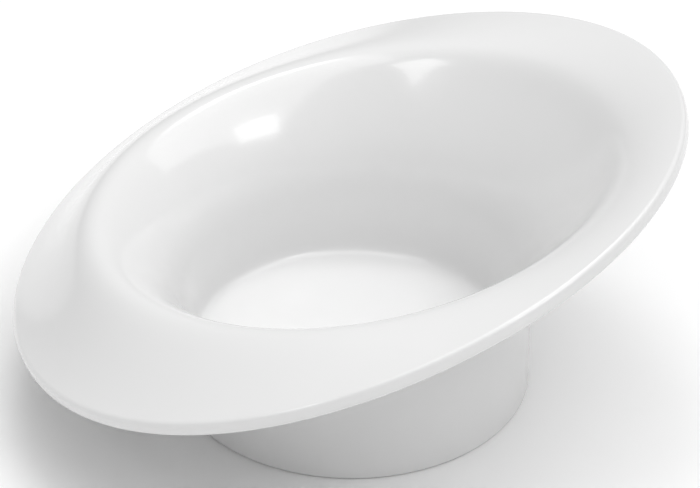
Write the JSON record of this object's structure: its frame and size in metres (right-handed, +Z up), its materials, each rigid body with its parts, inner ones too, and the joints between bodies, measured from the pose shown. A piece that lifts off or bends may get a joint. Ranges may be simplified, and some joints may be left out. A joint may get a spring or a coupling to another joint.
{
  "type": "bedpan",
  "caption": "Round white bedpan: a deep oval bowl with a broad rolled rim that tilts up to one end, standing on a straight round foot.",
  "frame": {"origin": "on the ground, under the middle of the rim", "axes": "+Z up, +X towards the high end of the tilted rim"},
  "size_m": [0.3278, 0.3297, 0.1583],
  "materials": {
    "bowl_white": "high gloss, moulded white",
    "skirt_white": "gloss, moulded white"
  },
  "bodies": {
    "root": {"bowl_and_rim": "bowl_white", "foot_skirt": "skirt_white"}
  },
  "joints": []
}
